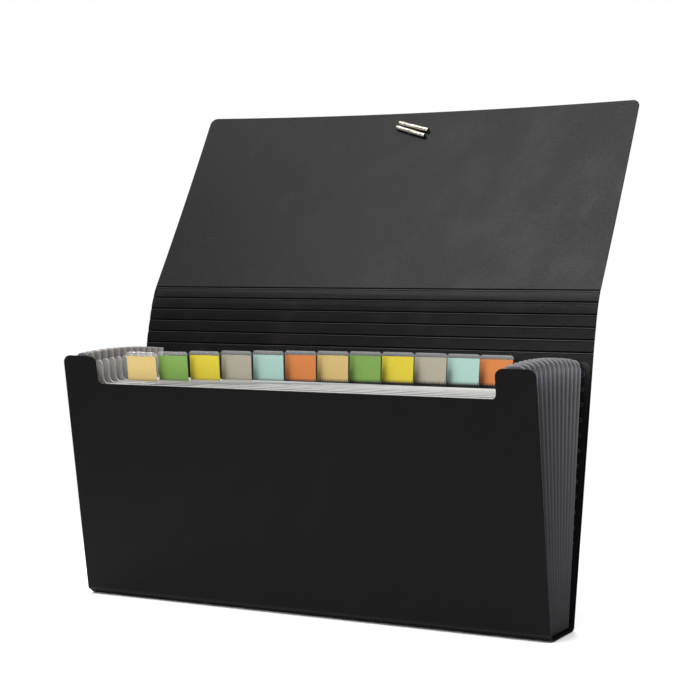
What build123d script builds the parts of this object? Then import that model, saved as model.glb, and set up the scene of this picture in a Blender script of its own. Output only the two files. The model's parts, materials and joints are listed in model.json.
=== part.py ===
from build123d import *

import os
from math import cos, radians, sin, sqrt, tan

# Accordion file folder, stood open on its narrow base.
# X runs across the folder, Y from its front to its back, Z up.
# The origin is the middle of the flat underside.
# All lengths are in millimetres and all angles in degrees.
# A lean is measured from upright, backwards positive.

# Cover sheet, scored polypropylene
cover_width = 260.0
sheet = 0.6
score_gap = 0.12
cut_overrun = 5.0

# Base of the cover, with the narrow strip at its front and the bend at its back
base_depth = 24.5
strip_run = 4.1
strip_rise = 2.9
bend_radius = 3.0

# Front panel, with an ear at each side of its finger recess
front_lean = -9.2
front_height = 125.6
ear_width = 20.0
ear_radius = 4.0
recess_depth = 14.4
recess_radius = 2.5

# Back panel, hinge slats and flap
back_lean = 10.8
back_height = 130.6
slat_pitch = 6.3
slat_leans = [12.8, 14.2, 14.6, 18.5, 24.2]
flap_lean = 32.8
flap_height = 114.4
flap_radius = 4.0

# Pocket dividers
pocket_count = 13
divider_sheet = 0.5
divider_axis_height = 4.0
divider_side_gap = 0.3
divider_ear_height = 122.0
divider_recess_height = 110.0
divider_ear_radius = 2.5
divider_ear_radius_share = 0.48

# Pleated floor under the dividers
floor_clearance = 0.3
floor_trough_height = 1.2
floor_wall_height = 0.8

# Side gussets
gusset_wall = 0.3
gusset_height = 126.0
gusset_outer_inset = 5.0
gusset_pleat_depth = 10.0
gusset_corner_radius = 5.0
gusset_end_gap = 0.3

# Flanges that weld the gussets to the cover
flange_sheet = 0.35
flange_edge_inset = 1.0
flange_foot = 3.0
front_flange_height = 121.0
rear_flange_height = 126.2
flange_radius = 3.0
weld_radius = 1.0
weld_clearance = 0.1
weld_depth = 0.2
weld_edge_inset = 4.4
weld_end_inset = 6.0
weld_pitch = 7.4

# Clear tab sleeves and their paper inserts
insert_width = 17.4
insert_height = 13.8
insert_sheet = 0.2
insert_foot_height = 111.4
insert_clearance = 0.1
sleeve_wall = 0.25
sleeve_rim = 1.4
sleeve_web = 0.6
sleeve_weld_height = 4.0
sleeve_side_margin = 0.3
sleeve_chamfer = 1.2
tab_row_left_inset = 15.6
tab_row_right_inset = 18.6

# Crimped metal ends of the closing elastic, held in a hole near the flap's free edge
crimp_length = 20.0
crimp_radius = 1.2
crimp_bore_radius = 0.75
crimp_end_chamfer = 0.25
crimp_spacing = 3.4
crimp_seat_gap = 0.1
crimp_turns = [-16.7, -19.4]
hole_offset = 2.0
hole_edge_distance = 11.8
elastic_radius = 0.8
elastic_hole_clearance = 0.2
elastic_tail = 0.5
elastic_seat_gap = 0.05

os.makedirs("parts", exist_ok=True)

half_width = cover_width / 2
nose = sheet / 2
panel_start = nose + score_gap


def save(name, shape):
    export_step(shape, f"parts/{name}.step")


def along(point, lean, run, lift=0.0):
    # the (y, z) place that lies this run up a leaning panel, and this lift off its front side
    turn = radians(lean)
    return (
        point[0] + run * sin(turn) - lift * cos(turn),
        point[1] + run * cos(turn) + lift * sin(turn),
    )


def face_plane(point, lean):
    # x across the panel, y up it, z out of its front side
    turn = radians(lean)
    return Plane(origin=(0, *point), x_dir=(1, 0, 0), z_dir=(0, -cos(turn), sin(turn)))


def side_plane(point, lean):
    # x up the panel, y out of its front side, z across
    turn = radians(lean)
    return Plane(origin=(0, *point), x_dir=(0, sin(turn), cos(turn)), z_dir=(1, 0, 0))


def block(low, high):
    # a rectangle from its low corner to its high corner
    size = [b - a for a, b in zip(low, high)]
    middle = [(a + b) / 2 for a, b in zip(low, high)]
    return Pos(*middle) * Rectangle(*size)


def scored_panel(score, lean, height):
    # a straight panel that starts just past one score and ends in a round edge on the next
    section = block((panel_start, -nose), (height, nose)) + Pos(height, 0) * Circle(nose)
    return extrude(side_plane(score, lean) * section, amount=half_width, both=True)


def eared_outline(half, inner, foot, recess, top, top_radius, inner_radius):
    # a sheet with a wide recess in its top edge, and an ear left at each side
    points = [
        (-half, foot), (half, foot), (half, top), (inner, top),
        (inner, recess), (-inner, recess), (-inner, top), (-half, top),
    ]
    outline = make_face(Polyline(*points, close=True))
    outline = fillet(outline.vertices().group_by(Axis.Y)[-1], top_radius)
    corners = [v for v in outline.vertices() if abs(v.Y - recess) < inner_radius / 2]
    return fillet(corners, inner_radius)


# Score lines of the cover, as (y, z) places in the side view
low_score = (-base_depth / 2, nose)
front_score = (low_score[0] - strip_run, low_score[1] + strip_rise)
strip_height = sqrt(strip_run**2 + strip_rise**2)
bend_middle = bend_radius - nose
bend_center = (base_depth / 2, bend_radius)
back_score = (
    bend_center[0] + bend_middle * cos(radians(back_lean)),
    bend_center[1] - bend_middle * sin(radians(back_lean)),
)
flap_scores = [along(back_score, back_lean, back_height)]
for lean in slat_leans:
    flap_scores.append(along(flap_scores[-1], lean, slat_pitch))


# Cover base: a flat bottom with a round front edge, bent up at the back to the back panel's score
def bottom_panel():
    bend_turn = 90 - back_lean
    front = low_score[0]
    outer = CenterArc(bend_center, bend_radius, -90, bend_turn)
    inner = CenterArc(bend_center, bend_radius - sheet, -90, bend_turn)
    sides = [
        Line((front, 0), outer @ 0),
        outer,
        Line(outer @ 1, inner @ 1),
        inner,
        Line(inner @ 0, (front, sheet)),
        Line((front, sheet), (front, 0)),
    ]
    section = make_face(Curve() + sides)
    section += Pos(*low_score) * Circle(nose)
    section += Pos(*back_score) * Circle(nose)
    return extrude(Plane.YZ * section, amount=half_width, both=True)


# The strip leans forwards from the low score to the front score
strip_plane = Plane(
    origin=(0, *low_score),
    x_dir=(0, -strip_run, strip_rise),
    z_dir=(1, 0, 0),
)
strip_section = block((panel_start, -nose), (strip_height, nose)) + Pos(strip_height, 0) * Circle(nose)

save("bottom_panel", bottom_panel())
save("front_fold_strip", extrude(strip_plane * strip_section, amount=half_width, both=True))
save("back_panel", scored_panel(back_score, back_lean, back_height))
for number, lean in enumerate(slat_leans):
    save(f"hinge_slat_{number + 1}", scored_panel(flap_scores[number], lean, slat_pitch))

# Front panel
front_plane = face_plane(front_score, front_lean)
recess_half = half_width - ear_width
front_outline = eared_outline(
    half_width, recess_half, panel_start, front_height - recess_depth, front_height, ear_radius, recess_radius
)
save("front_panel", extrude(front_plane * front_outline, amount=nose, both=True))

# Flap, with the hole for its elastic
flap_plane = face_plane(flap_scores[-1], flap_lean)
flap_side = side_plane(flap_scores[-1], flap_lean)
hole_height = flap_height - hole_edge_distance
hole_radius = crimp_spacing / 2 + elastic_radius + elastic_hole_clearance
flap_outline = block((-half_width, panel_start), (half_width, flap_height))
flap_outline = fillet(flap_outline.vertices().group_by(Axis.Y)[-1], flap_radius)
flap_outline -= Pos(hole_offset, hole_height) * Circle(hole_radius)
save("flap_panel", extrude(flap_plane * flap_outline, amount=nose, both=True))

# The fan: every divider turns about its own line
# The lines and the leans are evenly spread from front to back
front_line = front_score[0] + (divider_axis_height - front_score[1]) * tan(radians(front_lean))
back_line = back_score[0] + (divider_axis_height - back_score[1]) * tan(radians(back_lean))
pocket_pitch = (back_line - front_line) / pocket_count
lean_step = (back_lean - front_lean) / pocket_count


def fan_axis(index):
    return (front_line + index * pocket_pitch, divider_axis_height)


def fan_lean(index):
    return front_lean + index * lean_step


# Dividers
divider_numbers = range(1, pocket_count)
divider_half_sheet = divider_sheet / 2
gusset_outer = half_width - gusset_outer_inset
gusset_inner = gusset_outer - gusset_pleat_depth
divider_half = gusset_inner - divider_side_gap
divider_outline = eared_outline(
    divider_half,
    recess_half,
    0,
    divider_recess_height,
    divider_ear_height,
    min(divider_ear_radius, divider_ear_radius_share * (divider_half - recess_half)),
    recess_radius,
)

# Tab sleeves are folded from clear sheet and open at both sides, so that the inserts slide out sideways
sleeve_slot = insert_sheet + 2 * insert_clearance
sleeve_width = insert_width + 2 * sleeve_side_margin
slot_foot = insert_foot_height - insert_clearance
slot_top = insert_foot_height + insert_height + insert_clearance
sleeve_foot = slot_foot - sleeve_web
sleeve_top = slot_top + sleeve_rim
sleeve_back = divider_half_sheet
slot_back = sleeve_back + sleeve_wall
sleeve_front = slot_back + sleeve_slot + sleeve_wall
insert_back = slot_back + insert_clearance
tab_row = 2 * recess_half - tab_row_left_inset - tab_row_right_inset
tab_pitch = (tab_row - sleeve_width) / (len(divider_numbers) - 1)
first_tab = -recess_half + tab_row_left_inset + sleeve_width / 2


def tab_sleeve(axis, lean, middle):
    weld_foot = divider_recess_height - sleeve_weld_height
    section = block((weld_foot, sleeve_back), (sleeve_top, slot_back))
    section += block((sleeve_foot, sleeve_back), (sleeve_top, sleeve_front))
    section -= block((slot_foot, slot_back), (slot_top, slot_back + sleeve_slot))
    sleeve = extrude(side_plane(axis, lean) * section, amount=sleeve_width / 2, both=True)
    half = sleeve_width / 2
    points = [
        (-half, weld_foot), (half, weld_foot), (half, sleeve_top - sleeve_chamfer),
        (half - sleeve_chamfer, sleeve_top), (sleeve_chamfer - half, sleeve_top),
        (-half, sleeve_top - sleeve_chamfer),
    ]
    outline = face_plane(axis, lean) * make_face(Polyline(*points, close=True))
    return Pos(middle, 0, 0) * (sleeve & extrude(outline, amount=sleeve_front + cut_overrun, both=True))


def tab_insert(axis, lean, middle):
    low = (insert_foot_height, insert_back)
    high = (insert_foot_height + insert_height, insert_back + insert_sheet)
    section = side_plane(axis, lean) * block(low, high)
    return Pos(middle, 0, 0) * extrude(section, amount=insert_width / 2, both=True)


for number in divider_numbers:
    axis = fan_axis(number)
    lean = fan_lean(number)
    middle = first_tab + (number - 1) * tab_pitch
    plate = extrude(face_plane(axis, lean) * divider_outline, amount=divider_half_sheet, both=True)
    foot = extrude(side_plane(axis, lean) * Circle(divider_half_sheet), amount=divider_half, both=True)
    save(f"divider_{number:02d}", plate + foot)
    save(f"tab_sleeve_{number:02d}", tab_sleeve(axis, lean, middle))
    save(f"tab_insert_{number:02d}", tab_insert(axis, lean, middle))


# Pocket floor: a pleated strip with one crest under each divider
def pocket_floor():
    crest = divider_axis_height - divider_half_sheet - floor_clearance
    trough = floor_trough_height + floor_wall_height
    upper = []
    lower = []
    for number in divider_numbers:
        line = fan_axis(number)[0]
        upper.append((line, crest))
        lower.append((line, crest - floor_wall_height))
        if number < divider_numbers[-1]:
            upper.append((line + pocket_pitch / 2, trough))
            lower.append((line + pocket_pitch / 2, trough - floor_wall_height))
    section = make_face(Polyline(*upper, *reversed(lower), close=True))
    return extrude(Plane.YZ * section, amount=divider_half, both=True)


save("pocket_floor", pocket_floor())

# Gussets: one pleated strip at each side, folded inwards at every divider and outwards at every pocket
fold_inset = nose + flange_sheet + gusset_end_gap


def fold_line(index, height):
    # the y place of an inner fold at a height, kept off the cover at the two ends
    inset = 0.0
    if index == 0:
        inset = fold_inset / cos(radians(front_lean))
    if index == pocket_count:
        inset = -fold_inset / cos(radians(back_lean))
    return fan_axis(index)[0] + inset + (height - divider_axis_height) * tan(radians(fan_lean(index)))


def pleat_outline(height):
    # the zigzag strip cut level at a height, with the same wall thickness whatever the spread of its pleats
    lines = [fold_line(index, height) for index in range(pocket_count + 1)]
    half_pitch = (lines[-1] - lines[0]) / pocket_count / 2
    slack = half_pitch**2 - gusset_wall**2
    reach = gusset_wall * gusset_pleat_depth
    across = sqrt(reach**2 + slack * (half_pitch**2 + gusset_pleat_depth**2))
    band = gusset_wall * (across - reach) / slack
    outside = []
    inside = []
    for index, line in enumerate(lines):
        outside.append((gusset_inner + band, line))
        inside.append((gusset_inner, line))
        if index < pocket_count:
            between = (line + lines[index + 1]) / 2
            outside.append((gusset_outer, between))
            inside.append((gusset_outer - band, between))
    return [Vector(x, y, height) for x, y in outside + inside[::-1]]


def gusset():
    foot = divider_axis_height
    top = foot + gusset_height
    wires = [Wire.make_polygon(pleat_outline(height), close=True) for height in (foot, top + cut_overrun)]
    band = Solid.make_loft(wires, ruled=True)
    # the tops of the pleats follow the fan's arc
    ends = [along(fan_axis(index), fan_lean(index), gusset_height) for index in (0, pocket_count)]
    middle = ((ends[0][0] + ends[1][0]) / 2, top)
    low_front = (ends[0][0] - cut_overrun, foot)
    low_back = (ends[1][0] + cut_overrun, foot)
    arc = ThreePointArc(ends[0], middle, ends[1])
    front_top = (low_front[0], ends[0][1])
    back_top = (low_back[0], ends[1][1])
    rim = [
        Line(low_front, front_top), Line(front_top, ends[0]), arc,
        Line(ends[1], back_top), Line(back_top, low_back), Line(low_back, low_front),
    ]
    under_arc = extrude(Plane.YZ * make_face(Curve() + rim), amount=half_width)
    # the outer folds have a rounded top corner
    side = block((gusset_inner - cut_overrun, foot), (gusset_outer, top))
    corner = [v for v in side.vertices() if v.X > gusset_inner and v.Y > foot]
    side = fillet(corner, gusset_corner_radius)
    rounded = extrude(Plane.XZ * side, amount=cover_width, both=True)
    return band & under_arc & rounded


right_gusset = gusset()
save("right_gusset", right_gusset)
save("left_gusset", mirror(right_gusset, about=Plane.YZ))

# Flanges and weld spots: each gusset end lies flat on the cover and is spot welded near its edge
flange_outer = half_width - flange_edge_inset
weld_place = half_width - weld_edge_inset


def weld_heights(top):
    span = top - flange_foot - 2 * weld_end_inset
    count = int(span / weld_pitch) + 1
    return [top - weld_end_inset - step * weld_pitch for step in range(count)]


def flange(plane, side, lift, top):
    outline = block((gusset_inner, flange_foot), (flange_outer, top))
    corner = outline.vertices().group_by(Axis.Y)[-1].sort_by(Axis.X)[-1]
    outline = fillet(corner, flange_radius)
    for height in weld_heights(top):
        outline -= Pos(weld_place, height) * Circle(weld_radius + weld_clearance)
    if side < 0:
        outline = mirror(outline, about=Plane.YZ)
    seat = plane.offset(lift * nose)
    return extrude(seat * outline, amount=lift * flange_sheet)


def weld_spots(plane, lift, top):
    seat = plane.offset(lift * nose)
    spots = [
        extrude(seat * (Pos(side * weld_place, height) * Circle(weld_radius)), amount=lift * weld_depth)
        for side in (-1, 1)
        for height in weld_heights(top)
    ]
    return Compound(children=spots)


back_plane = face_plane(back_score, back_lean)
flange_ends = [("front", front_plane, -1, front_flange_height), ("rear", back_plane, 1, rear_flange_height)]
for place, plane, lift, top in flange_ends:
    save(f"left_{place}_flange", flange(plane, -1, lift, top))
    save(f"right_{place}_flange", flange(plane, 1, lift, top))
    save(f"{place}_weld_spots", weld_spots(plane, lift, top))

# Crimped metal ends, lying on the flap's inner face across the hole, and the bight of elastic that holds them
crimp_turn = sum(crimp_turns) / len(crimp_turns)
crimp_lift = nose + crimp_seat_gap + crimp_radius
hole_frame = flap_plane * Pos(hole_offset, hole_height)
pair_frame = hole_frame * Rot(0, 0, crimp_turn)
for name, turn, side in zip(("upper", "lower"), crimp_turns, (1, -1)):
    bar = chamfer(Cylinder(crimp_radius, crimp_length).edges().filter_by(GeomType.CIRCLE), crimp_end_chamfer)
    bar = Rot(0, 90, 0) * (bar - Cylinder(crimp_bore_radius, crimp_length))
    place = pair_frame * Pos(0, side * crimp_spacing / 2, crimp_lift) * Rot(0, 0, turn - crimp_turn)
    save(f"crimp_end_{name}", place * bar)


def elastic_bight():
    # up through the hole to one crimped end, and round behind the flap to the other
    reach = crimp_spacing / 2
    top = nose + crimp_seat_gap - elastic_seat_gap
    bottom = -nose - elastic_tail
    turns = [CenterArc((0, bottom), reach, start, -90) for start in (0, -90)]
    route = [Line((reach, top), (reach, bottom)), *turns, Line((-reach, bottom), (-reach, top))]
    path = Plane.YZ * (Curve() + route)
    start = Plane(origin=path @ 0, z_dir=path % 0)
    return pair_frame * sweep(start * Circle(elastic_radius), path=path)


save("elastic_bight", elastic_bight())

print(f"pocket pitch {pocket_pitch:.3f} mm at the floor, tab pitch {tab_pitch:.3f} mm")
for name, place in (("front score", front_score), ("back score", back_score)):
    print(f"{name} at y {place[0]:.3f}, z {place[1]:.3f}")
for place in flap_scores:
    print(f"flap score at y {place[0]:.3f}, z {place[1]:.3f}")
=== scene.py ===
import json
import math

import bmesh
import bpy
from mathutils import Matrix, Vector

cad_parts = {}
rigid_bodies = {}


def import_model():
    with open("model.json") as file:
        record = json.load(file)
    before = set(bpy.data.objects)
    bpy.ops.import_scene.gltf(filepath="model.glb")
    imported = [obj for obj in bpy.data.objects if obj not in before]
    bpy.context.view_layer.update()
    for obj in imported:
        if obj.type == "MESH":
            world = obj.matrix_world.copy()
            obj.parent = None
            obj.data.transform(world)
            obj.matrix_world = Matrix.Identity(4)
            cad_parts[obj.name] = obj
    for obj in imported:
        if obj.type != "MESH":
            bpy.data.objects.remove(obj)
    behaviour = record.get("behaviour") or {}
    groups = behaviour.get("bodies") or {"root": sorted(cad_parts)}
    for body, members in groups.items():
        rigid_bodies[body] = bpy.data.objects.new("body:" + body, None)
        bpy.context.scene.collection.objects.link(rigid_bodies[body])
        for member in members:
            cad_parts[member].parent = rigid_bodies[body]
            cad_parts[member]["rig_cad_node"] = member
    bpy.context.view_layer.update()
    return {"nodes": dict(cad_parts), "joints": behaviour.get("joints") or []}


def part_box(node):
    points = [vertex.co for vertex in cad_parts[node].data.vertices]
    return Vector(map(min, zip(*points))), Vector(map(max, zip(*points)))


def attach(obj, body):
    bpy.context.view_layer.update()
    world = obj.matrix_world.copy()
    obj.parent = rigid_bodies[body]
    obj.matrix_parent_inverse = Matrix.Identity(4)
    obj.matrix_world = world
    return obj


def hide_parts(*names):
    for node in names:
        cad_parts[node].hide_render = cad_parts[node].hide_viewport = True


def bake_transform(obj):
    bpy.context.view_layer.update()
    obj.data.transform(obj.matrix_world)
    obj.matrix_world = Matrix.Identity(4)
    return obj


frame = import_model()
mm = 0.001
for leftover in [o for o in bpy.data.objects if "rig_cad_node" not in o and not o.name.startswith("body:")]:
    bpy.data.objects.remove(leftover)
joints = {j["name"]: j for j in frame["joints"]}
dividerNames = sorted(n for n in frame["nodes"] if n.startswith("divider_"))


# Small helpers, all sizes in millimetres until a mesh is put in place

softRim = dict(segments=2, angle=60.0)
cutTolerance = 1e-4


def srgb(code):
    # "#rrggbb" as a linear colour
    parts = [int(code[k:k + 2], 16) / 255 for k in (1, 3, 5)]
    return (*[c / 12.92 if c <= 0.04045 else ((c + 0.055) / 1.055) ** 2.4 for c in parts], 1.0)


def addNode(tree, kind, inputs=None, **settings):
    # one node with its settings, its values and its links; a node given as a value stands for its first open
    # output, and a list links each of its members
    node = tree.nodes.new(kind)
    for name, value in settings.items():
        setattr(node, name, value)
    for key, value in (inputs or {}).items():
        for source in value if isinstance(value, list) else [value]:
            if isinstance(source, bpy.types.Node):
                source = next(output for output in source.outputs if output.enabled)
            if isinstance(source, bpy.types.NodeSocket):
                tree.links.new(source, node.inputs[key])
            else:
                node.inputs[key].default_value = source
    return node


def newMaterial(name):
    # an empty material, its tree and the coordinates that its patterns read
    material = bpy.data.materials.new(name)
    material.use_nodes = True
    tree = material.node_tree
    tree.nodes.clear()
    return material, tree, addNode(tree, "ShaderNodeTexCoord").outputs


def shade(tree, sockets):
    # ends a material: its shader with values and links, shown at the output
    shader = addNode(tree, "ShaderNodeBsdfPrincipled", sockets)
    addNode(tree, "ShaderNodeOutputMaterial", {"Surface": shader})


def newTree(name, inputs):
    # an empty Geometry Nodes tree with its inputs named by kind, and one for its material
    tree = bpy.data.node_groups.new(name, "GeometryNodeTree")
    for kind, labels in {**inputs, "Material": ["Material"]}.items():
        for label in labels:
            tree.interface.new_socket(label, in_out="INPUT", socket_type=f"NodeSocket{kind}")
    tree.interface.new_socket("Geometry", in_out="OUTPUT", socket_type="NodeSocketGeometry")
    return tree, addNode(tree, "NodeGroupInput").outputs


def endTree(tree, given, geometry):
    # ends a tree: real geometry in the given material
    real = addNode(tree, "GeometryNodeRealizeInstances", {"Geometry": geometry})
    dressed = addNode(tree, "GeometryNodeSetMaterial", {"Geometry": real, "Material": given["Material"]})
    addNode(tree, "NodeGroupOutput", {"Geometry": dressed})
    return tree


def newPiece(name, mesh):
    piece = bpy.data.objects.new(name, mesh)
    bpy.context.scene.collection.objects.link(piece)
    return piece


def shapedPiece(name, shape, materials):
    # a piece from a finished bmesh
    mesh = bpy.data.meshes.new(name)
    shape.to_mesh(mesh)
    shape.free()
    for material in materials:
        mesh.materials.append(material)
    return newPiece(name, mesh)


def plainMesh(piece):
    # the mesh as its modifiers leave it, with the modifiers taken off
    graph = bpy.context.evaluated_depsgraph_get()
    mesh = bpy.data.meshes.new_from_object(piece.evaluated_get(graph))
    piece.modifiers.clear()
    piece.data = mesh
    return mesh


def thicken(piece, sheet, soften=0.0, **settings):
    # gives a sheet its wall about its middle plane, and a soft rim where one is asked for
    wall = piece.modifiers.new("wall", "SOLIDIFY")
    wall.thickness = sheet
    wall.offset = 0
    for name, value in settings.items():
        setattr(wall, name, value)
    if soften:
        rim = piece.modifiers.new("rim", "BEVEL")
        rim.width = soften
        rim.segments = softRim["segments"]
        rim.limit_method = "ANGLE"
        rim.angle_limit = math.radians(softRim["angle"])


def grow(name, tree, values, sheet=0.0):
    # a piece grown by a Geometry Nodes tree, its inputs set before it is first evaluated; an input labelled
    # "Web Half" takes the value named webHalf
    piece = newPiece(name, bpy.data.meshes.new(name))
    modifier = piece.modifiers.new(tree.name, "NODES")
    modifier.node_group = tree
    for socket in tree.interface.items_tree:
        if socket.in_out == "INPUT":
            label = socket.name.replace(" ", "")
            modifier[socket.identifier] = values[label[0].lower() + label[1:]]
    if sheet:
        thicken(piece, sheet)
    mesh = plainMesh(piece)
    mesh.materials.clear()
    mesh.materials.append(values["material"])
    mesh.polygons.foreach_set("material_index", [0] * len(mesh.polygons))
    return piece


def putInPlace(piece, place, creaseAngle=15.0):
    # moves every point from the piece's own frame into the row frame, and from millimetres to metres
    for vertex in piece.data.vertices:
        vertex.co = Vector(place(*vertex.co)) * mm
    piece.data.polygons.foreach_set("use_smooth", [True] * len(piece.data.polygons))
    piece.data.set_sharp_from_angle(angle=math.radians(creaseAngle))
    piece.data.update()
    return piece


def asDrawn(x, y, z):
    # for pieces that are drawn where they belong
    return x, y, z


def jointPlace(name):
    # the (y, z) place of a joint's axis
    return [c / mm for c in joints[name]["pos_m"][1:]]


def cadPoints(node):
    return [v.co / mm for v in frame["nodes"][node].data.vertices]


def leanOf(node, axis=None):
    # how far a panel leans back from upright about its axis, or a narrow strip about its middle
    points = cadPoints(node)
    if axis is None:
        axis = (sum(points, Vector()) / len(points)).yz
    reach = [(p.y - axis[0], p.z - axis[1]) for p in points]
    across = sum(2 * y * z for y, z in reach)
    upright = sum(z * z - y * y for y, z in reach)
    return 0.5 * math.atan2(across, upright)


def panelPlace(axis, lean, bend=None):
    # u across the panel, v up it from its axis, w out of its front side
    def place(u, v, w):
        if bend:
            w = w + bend(u, v)
        y = axis[0] + v * math.sin(lean) - w * math.cos(lean)
        return u, y, axis[1] + v * math.cos(lean) + w * math.sin(lean)
    return place


def heightOf(node, axis, lean):
    # how far up its own plane a panel's far edge lies
    return max(
        (p.y - axis[0]) * math.sin(lean) + (p.z - axis[1]) * math.cos(lean) for p in cadPoints(node))


def roundCorners(corners, steps=8):
    # an outline from (u, v, radius) corners, each turned into an arc where it has a radius
    outline = []
    for k, (u, v, radius) in enumerate(corners):
        here = Vector((u, v))
        if not radius:
            outline.append(here)
            continue
        before = (Vector(corners[k - 1][:2]) - here).normalized()
        after = (Vector(corners[(k + 1) % len(corners)][:2]) - here).normalized()
        half = before.angle(after) / 2
        middle = here + (before + after).normalized() * radius / math.sin(half)
        start = here + before * radius / math.tan(half) - middle
        end = here + after * radius / math.tan(half) - middle
        outline += [middle + radius * start.slerp(end, s / steps) for s in range(steps + 1)]
    return outline


def turnsOf(count):
    # the angles of points set evenly round a circle
    return [2 * math.pi * k / count for k in range(count)]


def ring(u, v, radius, steps=20):
    # the outline of a round hole
    return [Vector((u + radius * math.cos(t), v + radius * math.sin(t))) for t in turnsOf(steps)]


def bridge(shape, rows):
    # a tube through rings of points; gives its faces ring by ring
    faces = []
    for a, b in zip(rows, rows[1:]):
        for s in range(len(a)):
            t = (s + 1) % len(a)
            faces.append(shape.faces.new((a[s], a[t], b[t], b[s])))
    return faces


def sheetPiece(name, loops, stock, materials, place, borderTop=None):
    # a flat sheet cut to its outline, ruled into cells so that it can bow, given its thickness and soft rim;
    # a border of its faces can take the rim's material up to a height, and a third material its rear side
    shape = bmesh.new()
    for loop in loops:
        points = [shape.verts.new((u, v, 0)) for u, v in loop]
        for a, b in zip(points, points[1:] + points[:1]):
            shape.edges.new((a, b))
    bmesh.ops.triangle_fill(
        shape, use_beauty=True, use_dissolve=False, edges=shape.edges[:], normal=(0, 0, 1))
    for facing in (Vector((1, 0, 0)), Vector((0, 1, 0))):
        places = [p.co.dot(facing) for p in shape.verts]
        low, high = min(places), max(places)
        count = max(1, round((high - low) / stock["cell"]))
        for k in range(1, count):
            spot = facing * (low + (high - low) * k / count)
            everything = shape.verts[:] + shape.edges[:] + shape.faces[:]
            bmesh.ops.bisect_plane(
                shape, geom=everything, dist=cutTolerance, plane_co=spot, plane_no=facing)
    bmesh.ops.recalc_face_normals(shape, faces=shape.faces[:])
    if borderTop is not None:
        edging = bmesh.ops.inset_region(
            shape, faces=shape.faces[:], thickness=stock["border"], use_boundary=True, use_even_offset=True)
        for face in edging["faces"]:
            if face.calc_center_median().y < borderTop:
                face.material_index = 1
    piece = shapedPiece(name, shape, materials)
    thicken(piece, stock["sheet"], stock["soften"], material_offset_rim=min(1, len(materials) - 1))
    mesh = plainMesh(piece)
    if len(materials) == 3:
        for face in mesh.polygons:
            if face.material_index == 0 and face.normal.z < 0:
                face.material_index = 2
    return putInPlace(piece, place)


def dress(piece, body, slot, *nodes):
    # rides on a body and stands for CAD nodes, which it hides; its slot is not used
    if body:
        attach(piece, body)
    if nodes:
        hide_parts(*nodes)
    return piece


# Materials

coverFinish = dict(tone="#0b0a0c", grainMm=0.9, streakMm=(15.0, 60.0), slant=32.0)


def embossedPolypropylene(name, roughness, gloss, worn):
    # extruded black polypropylene, rolled with a fine grain: nearly black, with a soft broken sheen, and
    # slanted wipes where hands have polished it. The grain is drawn coarser than life so that it shows
    material, tree, coords = newMaterial(name)
    wide, long = coverFinish["streakMm"]
    slant = addNode(tree, "ShaderNodeMapping", {
        "Vector": coords["Object"], "Rotation": (0, math.radians(coverFinish["slant"]), 0),
        "Scale": (1.0, 1.0, long / wide)}, vector_type="TEXTURE")
    wipe = addNode(tree, "ShaderNodeTexNoise", {
        "Vector": slant, "Scale": 1 / (wide * mm), "Detail": 3.0, "Roughness": 0.55})
    smear = addNode(tree, "ShaderNodeMapRange", {
        "Value": wipe, "From Min": 0.5, "From Max": 0.8}, interpolation_type="SMOOTHSTEP")
    grain = addNode(tree, "ShaderNodeTexNoise", {
        "Vector": coords["Object"], "Scale": 1 / (coverFinish["grainMm"] * mm), "Detail": 1.0})
    colour = addNode(tree, "ShaderNodeMix", {
        0: smear, 6: srgb(coverFinish["tone"]), 7: srgb(worn)}, data_type="RGBA")
    finish = addNode(tree, "ShaderNodeMix", {0: 0.45, 2: wipe, 3: grain}, data_type="FLOAT")
    rough = addNode(tree, "ShaderNodeMapRange", {
        "Value": finish, "From Min": 0.35, "From Max": 0.65, "To Min": roughness[0], "To Max": roughness[1]})
    bump = addNode(tree, "ShaderNodeBump", {"Height": grain, "Strength": 0.6, "Distance": 0.14 * mm})
    shade(tree, {"Base Color": colour, "Roughness": rough, "Normal": bump, "Specular IOR Level": gloss})
    return material


def mottledPolypropylene(name, spotMm, tones, roughness, gloss, detail=3.0):
    # polypropylene without its rolled grain: two close tones, with spots of more and less sheen
    material, tree, coords = newMaterial(name)
    spots = addNode(tree, "ShaderNodeTexNoise", {
        "Vector": coords["Object"], "Scale": 1 / (spotMm * mm), "Detail": detail})
    colour = addNode(tree, "ShaderNodeMix", {
        0: spots, 6: srgb(tones[0]), 7: srgb(tones[1])}, data_type="RGBA")
    rough = addNode(tree, "ShaderNodeMapRange", {
        "Value": spots, "To Min": roughness[0], "To Max": roughness[1]})
    shade(tree, {"Base Color": colour, "Roughness": rough, "Specular IOR Level": gloss})
    return material


# painted light from above: the smoke is painted paler from the foot up to the top, and its folds whiter
paintedTopLight = dict(lowMm=15.0, highMm=126.0, paler=(0.0, 0.75), whiter=(0.4, 1.0))


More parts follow.
